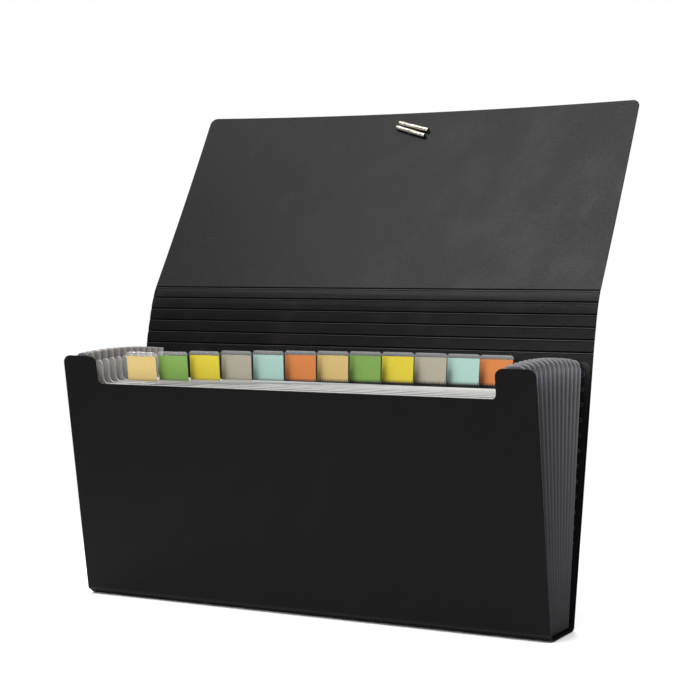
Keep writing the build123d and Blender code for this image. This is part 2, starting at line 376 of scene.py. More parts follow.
def smokePolypropylene(name, deep, pale, crease):
    # thin smoke-grey polypropylene, whitened along its pressed folds, where a painted highlight is added
    # too. Light soaks through it into the pockets and through the spread folds at the top, and this is
    # painted in: the inside and the top get paler tones
    material, tree, coords = newMaterial(name)
    fold = addNode(tree, "ShaderNodeAttribute", attribute_name="fold").outputs["Fac"]
    streak = addNode(tree, "ShaderNodeMapping", {"Vector": coords["Object"], "Scale": (1.0, 1.0, 0.04)})
    cloud = addNode(tree, "ShaderNodeTexNoise", {"Vector": streak, "Scale": 1 / (2.2 * mm), "Detail": 3.0})
    grain = addNode(tree, "ShaderNodeTexNoise", {
        "Vector": coords["Object"], "Scale": 1 / (0.6 * mm), "Detail": 2.0})
    height = addNode(tree, "ShaderNodeSeparateXYZ", {0: coords["Object"]}).outputs["Z"]
    # painted light: paler smoke and whiter folds towards the top
    paler, whiter = [
        addNode(tree, "ShaderNodeMapRange", {
            "Value": height, "From Min": paintedTopLight["lowMm"] * mm, "From Max": paintedTopLight["highMm"] * mm,
            "To Min": paintedTopLight[change][0], "To Max": paintedTopLight[change][1]})
        for change in ("paler", "whiter")
    ]
    share = addNode(tree, "ShaderNodeMath", {0: cloud, 1: 0.25, 2: paler}, operation="MULTIPLY_ADD")
    smoke = addNode(tree, "ShaderNodeMix", {0: share, 6: srgb(deep), 7: srgb(pale)}, data_type="RGBA")
    # painted highlight: the folds are drawn whiter, more so towards the top, over the pressed folds' own
    # whitening
    white = addNode(tree, "ShaderNodeMath", {0: fold, 1: whiter}, operation="MULTIPLY")
    colour = addNode(tree, "ShaderNodeMix", {0: white, 6: smoke, 7: srgb(crease)}, data_type="RGBA")
    body = addNode(tree, "ShaderNodeMapRange", {"Value": fold, "To Min": 0.88, "To Max": 0.95})
    bump = addNode(tree, "ShaderNodeBump", {"Height": grain, "Strength": 0.15, "Distance": 0.1 * mm})
    shade(tree, {
        "Base Color": colour, "Alpha": body, "Normal": bump, "Roughness": 0.36, "Specular IOR Level": 0.25})
    return material


def frostedPolypropylene(name, dim, bright, alpha):
    # clear polypropylene with a sand-blasted face: milky, so that layers of it build up to white
    material, tree, coords = newMaterial(name)
    cloud, grain = [
        addNode(tree, "ShaderNodeTexNoise", {
            "Vector": coords["Object"], "Scale": 1 / (sizeMm * mm), "Detail": detail})
        for sizeMm, detail in ((9.0, 4.0), (0.5, 2.0))
    ]
    colour = addNode(tree, "ShaderNodeMix", {0: cloud, 6: srgb(dim), 7: srgb(bright)}, data_type="RGBA")
    bump = addNode(tree, "ShaderNodeBump", {"Height": grain, "Strength": 0.12, "Distance": 0.1 * mm})
    shade(tree, {
        "Base Color": colour, "Alpha": alpha, "Normal": bump, "Roughness": 0.38, "Specular IOR Level": 0.4})
    return material


vinylRim = dict(depthMm=1.6, haze=(0.02, 0.2))


def clearVinyl(name, up, start):
    # folded clear vinyl film: glossy, almost colourless, seen mostly by its reflections and its milky sealed
    # rim, which starts some way up the divider. Its whitening as it turns edge-on is a painted reflection
    material, tree, coords = newMaterial(name)
    ripple = addNode(tree, "ShaderNodeTexNoise", {
        "Vector": coords["Object"], "Scale": 1 / (5.0 * mm), "Detail": 1.0})
    # painted reflection: the film is drawn whiter and more opaque as it is seen edge-on
    edge = addNode(tree, "ShaderNodeLayerWeight", {"Blend": 0.35}).outputs["Facing"]
    film = addNode(tree, "ShaderNodeMapRange", {
        "Value": edge, "From Min": 0.35, "To Min": 0.012, "To Max": 0.3})
    climb = addNode(tree, "ShaderNodeVectorMath", {0: coords["Object"], 1: up}, operation="DOT_PRODUCT")
    rim = addNode(tree, "ShaderNodeMapRange", {
        "Value": climb, "From Min": start, "From Max": start + vinylRim["depthMm"] * mm,
        "To Min": vinylRim["haze"][0], "To Max": vinylRim["haze"][1]})
    sealed = addNode(tree, "ShaderNodeMath", {0: climb, 1: start}, operation="GREATER_THAN")
    haze = addNode(tree, "ShaderNodeMath", {0: rim, 1: sealed}, operation="MULTIPLY")
    body = addNode(tree, "ShaderNodeMath", {0: film, 1: haze}, operation="MAXIMUM")
    bump = addNode(tree, "ShaderNodeBump", {"Height": ripple, "Strength": 0.2, "Distance": 0.1 * mm})
    shade(tree, {
        "Base Color": srgb("#e4e6e4"), "Alpha": body, "Normal": bump, "Roughness": 0.12,
        "Specular IOR Level": 0.5})
    return material


def dyedCard(name, colour, deep):
    # uncoated dyed card: matt, with a faint fibre mottle, and painted shade at the notches of its pinked
    # edge
    material, tree, coords = newMaterial(name)
    fibre = addNode(tree, "ShaderNodeTexNoise", {
        "Vector": coords["Object"], "Scale": 1 / (0.9 * mm), "Detail": 4.0, "Roughness": 0.7})
    tint = addNode(tree, "ShaderNodeMix", {0: fibre, 6: srgb(deep), 7: srgb(colour)}, data_type="RGBA")
    bruise = addNode(tree, "ShaderNodeAttribute", attribute_name="bruise").outputs["Fac"]
    # painted shade in the notches of the pinked edge
    tint = addNode(tree, "ShaderNodeMix", {0: bruise, 6: tint, 7: srgb("#2a2622")}, data_type="RGBA")
    bump = addNode(tree, "ShaderNodeBump", {"Height": fibre, "Strength": 0.25, "Distance": 0.08 * mm})
    shade(tree, {"Base Color": tint, "Normal": bump, "Roughness": 0.8, "Specular IOR Level": 0.2})
    return material


def nickelPlate():
    # nickel-plated steel strip, rolled and crimped: bright and a little warm, with small tool marks
    material, tree, coords = newMaterial("nickelPlate")
    mark = addNode(tree, "ShaderNodeTexNoise", {
        "Vector": coords["Object"], "Scale": 1 / (1.1 * mm), "Detail": 3.0})
    colour = addNode(tree, "ShaderNodeMix", {
        0: mark, 6: srgb("#8e877a"), 7: srgb("#d6d0c2")}, data_type="RGBA")
    rough = addNode(tree, "ShaderNodeMapRange", {"Value": mark, "To Min": 0.2, "To Max": 0.42})
    bump = addNode(tree, "ShaderNodeBump", {"Height": mark, "Strength": 0.3, "Distance": 0.15 * mm})
    shade(tree, {"Base Color": colour, "Roughness": rough, "Normal": bump, "Metallic": 1.0})
    return material


def braidedElastic():
    # polyester braid over rubber: matt black, crossed by two sets of slanted strands
    material, tree, coords = newMaterial("braidedElastic")
    strands = []
    for turn in (45, -45):
        slant = addNode(tree, "ShaderNodeMapping", {
            "Vector": coords["UV"], "Rotation": (0, 0, math.radians(turn))})
        strand = addNode(tree, "ShaderNodeTexWave", {"Vector": slant, "Scale": 3.0})
        strands.append(strand.outputs["Fac"])
    weave = addNode(tree, "ShaderNodeMath", {0: strands[0], 1: strands[1]}, operation="MAXIMUM")
    colour = addNode(tree, "ShaderNodeMix", {
        0: weave, 6: srgb("#060606"), 7: srgb("#1d1c1e")}, data_type="RGBA")
    bump = addNode(tree, "ShaderNodeBump", {"Height": weave, "Strength": 0.6, "Distance": 0.1 * mm})
    shade(tree, {
        "Base Color": colour, "Normal": bump, "Roughness": 0.8, "Specular IOR Level": 0.2,
        "Sheen Weight": 0.3})
    return material


blackInside = embossedPolypropylene("embossedPolypropylene", (0.31, 0.43), 0.115, "#171314")
blackOutside = embossedPolypropylene("embossedPolypropyleneMatt", (0.42, 0.55), 0.085, "#100e10")
# the sheared rim is dragged by the knife, duller and darker than the rolled face. The grooves of the spine
# get a darker tone still: painted shade, where the shade gathers
blackRim, grooveShade = [
    mottledPolypropylene(name, 1.5, tones, (0.45, 0.6), gloss, 2.0)
    for name, tones, gloss in (
        ("cutPolypropylene", ("#070608", "#0d0c0e"), 0.06),
        ("groovePolypropylene", ("#020203", "#050506"), 0.01))
]
# pressed thin by a die: polished along the spine and at the welds, still dull at the foot
blackHinge, dullHinge, weldHinge = [
    mottledPolypropylene(name, 4.0, ("#0f0e10", "#1c1b1d"), (0.26, 0.4), gloss)
    for name, gloss in (
        ("hingePolypropylene", 0.34), ("hingePolypropyleneDull", 0.1), ("weldedPolypropylene", 1.0))
]
smokeSheet = smokePolypropylene("smokePolypropylene", "#1f1d22", "#69676c", "#939297")
# the inside skin is painted paler, standing in for light that comes through the film into the pockets
paintedBacklitSheet = smokePolypropylene("smokePolypropyleneInside", "#6c6765", "#898482", "#a8a4a2")
# the same smoke sheet lying flat on the black cover, which shows through it
flangeSheet = mottledPolypropylene("flangePolypropylene", 6.0, ("#0c0b0d", "#151417"), (0.28, 0.42), 0.22)
frostedSheet = frostedPolypropylene("frostedPolypropylene", "#bebbb9", "#cdcac8", 0.28)
# the cut rim and a narrow border at the recess edge: partly the cut edge's own milkiness, partly a painted
# highlight where the edge faces up into the light
frostedRimHighlight = frostedPolypropylene("frostedPolypropyleneRim", "#dadcd9", "#ebeceb", 0.7)
plating = nickelPlate()
braid = braidedElastic()
cardColours = dict(
    card_tan=("#d5bc7a", "#c6aa66"), card_green=("#80a850", "#719742"), card_yellow=("#dfcc36", "#d0bb2c"),
    card_grey=("#b3ac9b", "#a49d8c"), card_aqua=("#aed0c6", "#9fc2b8"), card_orange=("#d98444", "#c97636"))
cardSlots = list(cardColours)
cards = [dyedCard(f"dyed_{slot}", *tones) for slot, tones in cardColours.items()]
print("materials made:", len(bpy.data.materials))


# Cover: base, front, back, hinge slats and flap

cover = dict(sheet=0.6, soften=0.16, cell=9.0, scoreHalf=0.75)
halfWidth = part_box("back_panel")[1].x / mm
frontAxis = jointPlace("front_fold")
backAxis = jointPlace("back_fold")
# the front's own front side is the outside of the folder; the front sides of the other sheets face inwards
frontSides = [blackOutside, blackRim, blackInside]
coverSides = [blackInside, blackRim, blackOutside]

front = dict(earWidth=20.0, earRadius=4.0, recessDepth=14.4, recessRadius=2.5)


def earedLoop(half, inner, foot, recess, top, topRadius, innerRadius):
    # a sheet with a wide finger recess in its top edge and an ear left at each side
    return roundCorners([
        (-half, foot, 0), (half, foot, 0), (half, top, topRadius), (inner, top, topRadius),
        (inner, recess, innerRadius), (-inner, recess, innerRadius), (-inner, top, topRadius),
        (-half, top, topRadius),
    ])


def plainLoop(high, radius=0.0):
    # a panel from its own score up, with its far corners square or round
    low = cover["scoreHalf"]
    return roundCorners([
        (-halfWidth, low, 0), (halfWidth, low, 0), (halfWidth, high, radius), (-halfWidth, high, radius)])


frontLean = leanOf("front_panel", frontAxis)
frontTop = heightOf("front_panel", frontAxis, frontLean)
recessHalf = halfWidth - front["earWidth"]
frontLoop = earedLoop(
    halfWidth, recessHalf, cover["scoreHalf"], frontTop - front["recessDepth"], frontTop,
    front["earRadius"], front["recessRadius"])
frontSheet = sheetPiece("front_cover", [frontLoop], cover, frontSides, panelPlace(frontAxis, frontLean))
dress(frontSheet, "front", "black_cover", "front_panel")

backLean = leanOf("back_panel", backAxis)
backScore = (Vector(jointPlace("flap_fold_1")) - Vector(backAxis)).length
backSheet = sheetPiece(
    "back_cover", [plainLoop(backScore - cover["scoreHalf"])], cover, coverSides,
    panelPlace(backAxis, backLean))
dress(backSheet, "back", "black_cover", "back_panel")

slat = dict(cover, cell=2.2, bow=0.22)
slatBodies = ["spine_lower"] * 3 + ["spine_upper"] * 2
slatNodes = [f"hinge_slat_{number}" for number in range(1, len(slatBodies) + 1)]
slatLeans = [leanOf(node) for node in slatNodes]
slatUps = [Vector((math.sin(lean), math.cos(lean))) for lean in slatLeans]
slatSpan = Vector(jointPlace("flap_fold_3")) - Vector(jointPlace("flap_fold_1"))
slatRun = slatSpan.length / sum(slatUps, Vector((0, 0))).length
slatAxes = [Vector(jointPlace("flap_fold_1"))]
for up in slatUps:
    slatAxes.append(slatAxes[-1] + up * slatRun)


def slatBow(u, v):
    # each slat swells a little between its scores
    share = v / slatRun
    return slat["bow"] * 4 * share * (1 - share)


for number, (node, body) in enumerate(zip(slatNodes, slatBodies), 1):
    place = panelPlace(slatAxes[number - 1], slatLeans[number - 1], slatBow)
    strip = sheetPiece(f"slat_{number}", [plainLoop(slatRun - slat["scoreHalf"])], slat, coverSides, place)
    dress(strip, body, "black_cover", node)

flap = dict(cornerRadius=4.0, curl=3.0, holeRadius=2.7)
flapAxis = jointPlace("flap_fold_3")
flapLean = leanOf("flap_panel", flapAxis)
flapTop = heightOf("flap_panel", flapAxis, flapLean)
holePlace = [c / mm for c in joints["elastic_end_swivel"]["pos_m"]]
holeUp = (Vector(holePlace[1:]) - Vector(flapAxis)).length


def flapCurl(u, v):
    # the free corners curl forwards a little, and the score end stays straight
    return flap["curl"] * (u / halfWidth) ** 2 * (v / flapTop) ** 2


flapLoops = [plainLoop(flapTop, flap["cornerRadius"]), ring(holePlace[0], holeUp, flap["holeRadius"])]
flapSheet = sheetPiece("flap_cover", flapLoops, cover, coverSides, panelPlace(flapAxis, flapLean, flapCurl))
dress(flapSheet, "flap", "black_cover", "flap_panel")

base = dict(bendRadius=3.0, bendSteps=10, cornerCut=0.7, columns=20, insideHeight=12.0)


def baseSection():
    # the middle line of the base in the side view, from the front score round to the back score
    lowScore = Vector((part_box("bottom_panel")[0].y / mm + cover["sheet"] / 2, cover["sheet"] / 2))
    bendMiddle = base["bendRadius"] - cover["sheet"] / 2
    turnEnd = -backLean
    centre = Vector((
        backAxis[0] - bendMiddle * math.cos(turnEnd), backAxis[1] - bendMiddle * math.sin(turnEnd)))
    down = (lowScore - Vector(frontAxis)).normalized()
    points = [
        Vector(frontAxis) + down * cover["scoreHalf"], lowScore - down * base["cornerCut"],
        lowScore + Vector((base["cornerCut"], 0))]
    for s in range(base["bendSteps"] + 1):
        turn = -math.pi / 2 + (math.pi / 2 + turnEnd) * s / base["bendSteps"]
        points.append(centre + bendMiddle * Vector((math.cos(turn), math.sin(turn))))
    return points


def baseSheet():
    # the section swept across the width, then given its thickness
    section = baseSection()
    shape = bmesh.new()
    grid = [
        [shape.verts.new((-halfWidth + 2 * halfWidth * c / base["columns"], p.x, p.y)) for p in section]
        for c in range(base["columns"] + 1)
    ]
    for left, right in zip(grid, grid[1:]):
        for k in range(len(section) - 1):
            shape.faces.new((left[k], right[k], right[k + 1], left[k + 1]))
    bmesh.ops.recalc_face_normals(shape, faces=shape.faces[:])
    piece = shapedPiece("base_cover", shape, coverSides)
    thicken(piece, cover["sheet"], cover["soften"], use_even_offset=True, material_offset_rim=1)
    inside = Vector((0, sum(p.x for p in section) / len(section), base["insideHeight"]))
    for face in plainMesh(piece).polygons:
        outward = face.center - inside
        outward.x = 0
        if face.material_index == 0 and face.normal.dot(outward) > 0:
            face.material_index = 2
    return putInPlace(piece, asDrawn)


dress(baseSheet(), "base", "black_cover", "bottom_panel", "front_fold_strip")
print("cover sheets made")


# Scores: a thin web with a raised bead along it, grown across the width

score = dict(
    webHalf=1.5, webSheet=0.3, webCuts=7, beadRadius=0.28, beadLift=0.12, beadDrop=-0.28, beadSides=14,
    beadShares=(0.9, 1.01))
# the bead's finish and the groove's: a polished line in a groove painted black as shade on the spine, dull
# at the foot
spineFinish = (blackHinge, grooveShade)
footFinish = (dullHinge, dullHinge)


def scoreTree():
    tree, given = newTree("scoreRib", {
        "Float": ["Width", "Web Half", "Web Sheet", "Bead Radius", "Bead Lift", "Bead Drop"],
        "Int": ["Web Cuts", "Bead Sides"]})
    half = addNode(tree, "ShaderNodeMath", {0: given["Width"], 1: 0.5}, operation="MULTIPLY")
    minus = addNode(tree, "ShaderNodeMath", {0: half, 1: -1.0}, operation="MULTIPLY")
    left = addNode(tree, "ShaderNodeCombineXYZ", {"Z": minus})
    right = addNode(tree, "ShaderNodeCombineXYZ", {"Z": half})
    line = addNode(tree, "GeometryNodeCurvePrimitiveLine", {"Start": left, "End": right})
    across = addNode(tree, "ShaderNodeMath", {0: given["Web Half"], 1: 2.0}, operation="MULTIPLY")
    flat = addNode(tree, "GeometryNodeCurvePrimitiveQuadrilateral", {
        "Width": across, "Height": given["Web Sheet"]})
    flat = addNode(tree, "GeometryNodeSubdivideCurve", {"Curve": flat, "Cuts": given["Web Cuts"]})
    circle = addNode(tree, "GeometryNodeCurvePrimitiveCircle", {
        "Resolution": given["Bead Sides"], "Radius": given["Bead Radius"]})
    shift = addNode(tree, "ShaderNodeCombineXYZ", {"X": given["Bead Drop"], "Y": given["Bead Lift"]})
    circle = addNode(tree, "GeometryNodeTransform", {"Geometry": circle, "Translation": shift})
    solids = [
        addNode(tree, "GeometryNodeCurveToMesh", {
            "Curve": line, "Profile Curve": section, "Fill Caps": True})
        for section in (flat, circle)
    ]
    return endTree(tree, given, addNode(tree, "GeometryNodeJoinGeometry", {"Geometry": solids}))


scoreRib = scoreTree()


def scorePiece(name, place, finish):
    # the rib grows along its own z, with x up the panel and y out of its front
    piece = grow(name, scoreRib, dict(score, width=2 * halfWidth, material=finish[0]))
    # what isn't on the bead's round face belongs to the web
    bead = Vector((score["beadDrop"], score["beadLift"]))
    nearest, farthest = score["beadShares"]
    piece.data.materials.append(finish[1])
    for face in piece.data.polygons:
        if not nearest < (face.center.xy - bead).length / score["beadRadius"] < farthest:
            face.material_index = 1
    shape = bmesh.new()
    shape.from_mesh(piece.data)
    bmesh.ops.recalc_face_normals(shape, faces=shape.faces[:])
    shape.to_mesh(piece.data)
    shape.free()
    return putInPlace(piece, lambda x, y, z: place(z, x, y))


def layScore(name, place, bodyA, bodyB, finish):
    # a score within one stiff group rides on it; one that works as a hinge is baked where it is drawn and
    # rides on no body
    piece = scorePiece(name, place, finish)
    if bodyA == bodyB:
        return dress(piece, bodyA, "black_cover")
    start, end = [Vector(place(0, run, 0)) * mm for run in (-score["webHalf"], score["webHalf"])]
    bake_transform(piece)
    return dress(piece, None, "black_cover")


def footPlace():
    # up the front panel over its score, down the base's front strip under it
    upper = panelPlace(frontAxis, frontLean)
    strip = Vector(frontAxis) - baseSection()[1]
    lower = panelPlace(frontAxis, math.atan2(strip.x, strip.y))
    return lambda u, v, w: upper(u, v, w) if v > 0 else lower(u, v, w)


spineLeans = [backLean, *slatLeans, flapLean]
spineBodies = ["back", *slatBodies, "flap"]
for index, axis in enumerate(slatAxes):
    meanLean = (spineLeans[index] + spineLeans[index + 1]) / 2
    bodies = spineBodies[index:index + 2]
    layScore(f"score_{len(slatAxes) - index}", panelPlace(axis, meanLean), *bodies, spineFinish)
layScore("back_score", panelPlace(backAxis, backLean), "base", "back", footFinish)
layScore("front_score", footPlace(), "base", "front", footFinish)
print("scores made")


# Gussets: thirteen pleats at each side, each drawn from just over the base up to the fan's arc

# outerWhite, innerWhite and brim mark the folds and the top edge for their whitening and painted highlight
gusset = dict(
    pockets=13, foot=4.0, height=126.0, inner=115.0, outer=125.0, footBulge=127.6, hang=1.5, heelRise=0.35,
    wall=0.3, cornerDrop=5.0, coverInset=0.95, rearInner=119.0, rearDrop=0.8, roundness=0.45, steps=13,
    rows=22, crowding=1.6, outerWhite=0.8, innerWhite=0.16, brim=0.999, creaseAngle=50.0)


def pleatTree():
    # one pleat: a grid drawn between its front fold, its outer fold and its rear fold
    tree, given = newTree("bellowsPleat", {
        "Vector": ["Front Foot", "Front Top", "Outer Foot", "Outer Top", "Rear Foot", "Rear Top"],
        "Float": [
            "Corner Share", "Corner Drop", "Roundness", "Crowding", "Outer White", "Inner White", "Brim"],
        "Int": ["Steps", "Rows"]})
    grid = addNode(tree, "GeometryNodeMeshGrid", {
        "Size X": 1.0, "Size Y": 1.0, "Vertices X": given["Steps"], "Vertices Y": given["Rows"]})
    spot = addNode(tree, "ShaderNodeSeparateXYZ", {0: addNode(tree, "GeometryNodeInputPosition")}).outputs
    across = addNode(tree, "ShaderNodeMath", {0: spot["X"], 1: 0.5}, operation="ADD")
    # rows from the foot up, closer together towards the top edge
    down = addNode(tree, "ShaderNodeMath", {0: 0.5, 1: spot["Y"]}, operation="SUBTRACT")
    down = addNode(tree, "ShaderNodeMath", {0: down, 1: given["Crowding"]}, operation="POWER")
    up = addNode(tree, "ShaderNodeMath", {0: 1.0, 1: down}, operation="SUBTRACT")
    # how far out the sheet stands: a sharp zigzag softened towards a sine
    zigzag = addNode(tree, "ShaderNodeMath", {0: across, 1: 0.5}, operation="PINGPONG")
    zigzag = addNode(tree, "ShaderNodeMath", {0: zigzag, 1: 2.0}, operation="MULTIPLY")
    angle = addNode(tree, "ShaderNodeMath", {0: zigzag, 1: math.pi / 2}, operation="MULTIPLY")
    sine = addNode(tree, "ShaderNodeMath", {0: angle}, operation="SINE")
    reach = addNode(tree, "ShaderNodeMix", {0: given["Roundness"], 2: zigzag, 3: sine}, data_type="FLOAT")
    frontLine, rearLine, outerLine = [
        addNode(tree, "ShaderNodeMix", {
            0: up, 4: given[f"{side} Foot"], 5: given[f"{side} Top"]}, data_type="VECTOR")
        for side in ("Front", "Rear", "Outer")
    ]
    level = addNode(tree, "ShaderNodeMix", {0: across, 4: frontLine, 5: rearLine}, data_type="VECTOR")
    sheet = addNode(tree, "ShaderNodeMix", {0: reach, 4: level, 5: outerLine}, data_type="VECTOR")
    # the outer fold's top corner is cut round
    past = addNode(tree, "ShaderNodeMapRange", {
        "Value": reach, "From Min": given["Corner Share"], "From Max": 1.0})
    square = addNode(tree, "ShaderNodeMath", {0: past, 1: past}, operation="MULTIPLY")
    left = addNode(tree, "ShaderNodeMath", {0: 1.0, 1: square}, operation="SUBTRACT")
    chord = addNode(tree, "ShaderNodeMath", {0: left}, operation="SQRT")
    drop = addNode(tree, "ShaderNodeMath", {0: 1.0, 1: chord}, operation="SUBTRACT")
    for factor in (given["Corner Drop"], up, -1.0):
        drop = addNode(tree, "ShaderNodeMath", {0: drop, 1: factor}, operation="MULTIPLY")
    lower = addNode(tree, "ShaderNodeCombineXYZ", {"Z": drop})
    # the folds whiten where they were pressed, and get a painted highlight along them and along the top
    # edge; marked while the grid is flat
    crease = addNode(tree, "ShaderNodeMath", {0: up, 1: given["Brim"]}, operation="GREATER_THAN")
    for start, end in ((given["Outer White"], 1.0), (given["Inner White"], 0.0)):
        fold = addNode(tree, "ShaderNodeMapRange", {"Value": zigzag, "From Min": start, "From Max": end})
        crease = addNode(tree, "ShaderNodeMath", {0: crease, 1: fold}, operation="MAXIMUM")
    marked = addNode(tree, "GeometryNodeStoreNamedAttribute", {
        "Geometry": grid, "Name": "fold", "Value": crease}, data_type="FLOAT", domain="POINT")
    folded = addNode(tree, "GeometryNodeSetPosition", {
        "Geometry": marked, "Position": sheet, "Offset": lower})
    return endTree(tree, given, folded)


bellowsPleat = pleatTree()
pockets = gusset["pockets"]
foldNames = [f"divider_fold_{number:02d}" for number in range(1, pockets)]
fanAxes = [jointPlace(name) for name in foldNames]
fanPitch = (fanAxes[-1][0] - fanAxes[0][0]) / (len(fanAxes) - 1)


def foldStart(index):
    # the y place of an inner fold at the foot of the fan
    return fanAxes[0][0] + (index - 1) * fanPitch


def foldLine(index, height):
    # the y place of an inner fold at a height, kept off the cover at the two ends
    lean = frontLean + (backLean - frontLean) * index / pockets
    inset = 0.0
    if index == 0:
        inset = gusset["coverInset"] / math.cos(lean)
    if index == pockets:
        inset = -gusset["coverInset"] / math.cos(lean)
    return foldStart(index) + inset + (height - gusset["foot"]) * math.tan(lean)


def arcTop(y):
    # the height of the fan's arc over a place from front to back
    first, last = [
        Vector((foldStart(index) + gusset["height"] * math.sin(lean),
                gusset["foot"] + gusset["height"] * math.cos(lean)))
        for index, lean in ((0, frontLean), (pockets, backLean))
    ]
    crown = Vector(((first.x + last.x) / 2, gusset["foot"] + gusset["height"]))
    half = (last - first).length / 2
    sag = crown.y - (first.y + last.y) / 2
    radius = (half ** 2 + sag ** 2) / (2 * sag)
    slope = math.atan2(last.y - first.y, last.x - first.x)
    reach = y - crown.x
    return crown.y - (radius - math.sqrt(radius ** 2 - reach ** 2)) + reach * math.tan(slope)


def footHeight(y):
    # the pleats reach down to just over the base sheet: its front strip, its flat and its round back bend
    low, high = [corner.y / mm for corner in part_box("bottom_panel")]
    strip = frontAxis[1] * max(0.0, (low - y) / (low - frontAxis[0]))
    return gusset["hang"] + max(strip, gusset["heelRise"] * max(0.0, y - high) ** 2)


def pleat(side, label, index):
    tops, foots = [], []
    for fold in (index, index + 1):
        high = arcTop(foldLine(fold, gusset["foot"] + gusset["height"]))
        inner = gusset["inner"]
        if fold == pockets:
            high -= gusset["rearDrop"]
            inner = gusset["rearInner"]
        tops.append(Vector((side * inner, foldLine(fold, high), high)))
        low = footHeight(foldLine(fold, gusset["foot"]))
        foots.append(Vector((side * gusset["inner"], foldLine(fold, low), low)))
    outerFoot = (foots[0] + foots[1]) / 2
    outerTop = (tops[0] + tops[1]) / 2
    outerFoot.x = side * gusset["footBulge"]
    outerTop.x = side * gusset["outer"]
    cornerShare = 1 - gusset["cornerDrop"] / (gusset["outer"] - gusset["inner"])
    # the wall's second skin is the other side of the sheet, painted paler as light coming through the film
    skins = [smokeSheet, paintedBacklitSheet][::side]
    shape = dict(
        gusset, frontFoot=foots[0], frontTop=tops[0], outerFoot=outerFoot, outerTop=outerTop,
        rearFoot=foots[1], rearTop=tops[1], cornerShare=cornerShare, material=skins[0])
    piece = grow(f"{label}_pleat_{index + 1:02d}", bellowsPleat, shape, gusset["wall"])
    piece.data.materials.append(skins[1])
    cells = (gusset["steps"] - 1) * (gusset["rows"] - 1)
    for face in piece.data.polygons[cells:2 * cells]:
        face.material_index = 1
    putInPlace(piece, asDrawn, gusset["creaseAngle"])
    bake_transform(piece)
    return dress(piece, None, "smoke_gusset")


for side, label in ((-1, "left"), (1, "right")):
    made = [pleat(side, label, index) for index in range(pockets)]
    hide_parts(f"{label}_gusset")
print("gussets made")


# Flanges: the gusset's end sheets, spot welded to the cover

flange = dict(sheet=0.35, foot=3.0, inner=115.0, edgeInset=1.0, radius=3.0, soften=0.08, cell=12.0)
weld = dict(
    radius=1.0, clearance=0.1, edgeInset=4.4, endInset=6.0, pitch=7.4, depth=0.2, sink=0.24, rim=0.26,
    sides=18, rimSides=6, creaseAngle=40.0)


def weldTree():
    # a column of welded dimples: a pressed floor in each hole with a raised rim round it
    tree, given = newTree("weldColumn", {
        "Float": ["Pitch", "Radius", "Depth", "Sink", "Rim"], "Int": ["Count", "Sides", "Rim Sides"]})
    down = addNode(tree, "ShaderNodeMath", {0: given["Pitch"], 1: -1.0}, operation="MULTIPLY")
    step = addNode(tree, "ShaderNodeCombineXYZ", {"Y": down})
    spots = addNode(tree, "GeometryNodeMeshLine", {"Count": given["Count"], "Offset": step})
    circle, bead = [
        addNode(tree, "GeometryNodeCurvePrimitiveCircle", {
            "Resolution": given[sides], "Radius": given[radius]})
        for sides, radius in (("Sides", "Radius"), ("Rim Sides", "Rim"))
    ]
    rim = addNode(tree, "GeometryNodeCurveToMesh", {"Curve": circle, "Profile Curve": bead})
    floor = addNode(tree, "GeometryNodeMeshCylinder", {
        "Vertices": given["Sides"], "Radius": given["Radius"], "Depth": given["Depth"]})
    sink = addNode(tree, "ShaderNodeMath", {0: given["Sink"], 1: -1.0}, operation="MULTIPLY")
    shift = addNode(tree, "ShaderNodeCombineXYZ", {"Z": sink})
    floor = addNode(tree, "GeometryNodeTransform", {"Geometry": floor, "Translation": shift})
    dimple = addNode(tree, "GeometryNodeJoinGeometry", {"Geometry": [rim, floor]})
    placed = addNode(tree, "GeometryNodeInstanceOnPoints", {"Points": spots, "Instance": dimple})
    return endTree(tree, given, placed)


weldColumn = weldTree()


def flangePiece(side, label, end, axis, lean, facing, body):
    # facing is 1 on the back cover, whose front side carries it, and -1 on the front cover
    node = f"{label}_{end}_flange"
    high = heightOf(node, axis, lean)
    weldCount = int((high - flange["foot"] - 2 * weld["endInset"]) / weld["pitch"]) + 1
    weldTop = high - weld["endInset"]
    weldPlace = halfWidth - weld["edgeInset"]
    left, right = flange["inner"], halfWidth - flange["edgeInset"]
    outline = roundCorners([
        (left, flange["foot"], 0), (right, flange["foot"], 0), (right, high, flange["radius"]),
        (left, high, 0)])
    holes = [
        ring(weldPlace, weldTop - k * weld["pitch"], weld["radius"] + weld["clearance"])
        for k in range(weldCount)
    ]
    panel = panelPlace(axis, lean)
    face = cover["sheet"] / 2
    middle = face + flange["sheet"] / 2
    top = face + flange["sheet"]
    piece = sheetPiece(
        f"{node}_sheet", [outline, *holes], flange, [flangeSheet],
        lambda u, v, w: panel(side * u, v, facing * (middle + w)))
    column = grow(
        f"{label}_{end}_welds", weldColumn, dict(weld, count=weldCount, material=weldHinge))
    putInPlace(
        column, lambda x, y, z: panel(side * (x + weldPlace), y + weldTop, facing * (top + z)),
        weld["creaseAngle"])
    # a mirrored sheet is turned right side out again
    if side * facing < 0:
        piece.data.flip_normals()
        column.data.flip_normals()
    dress(piece, body, "smoke_gusset", node)
    return dress(column, body, "weld_spot")


for end, axis, lean, facing, body in (
        ("front", frontAxis, frontLean, -1, "front"), ("rear", backAxis, backLean, 1, "back")):
    columns = [
        flangePiece(side, label, end, axis, lean, facing, body)
        for side, label in ((-1, "left"), (1, "right"))
    ]
    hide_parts(f"{end}_weld_spots")
print("flanges made")


# Dividers, tab sleeves and inserts

divider = dict(
    sheet=0.5, soften=0.14, sideGap=0.3, earHeight=122.0, recessHeight=110.0, earRadius=2.28,
    recessRadius=2.5, cell=10.0, wave=0.35, waveLength=95.0, phase=1.7, border=0.3)
card = dict(
    width=17.4, height=13.2, sheet=0.2, footHeight=111.4, teeth=13, toothDepth=1.1, rows=9, lift=0.7)


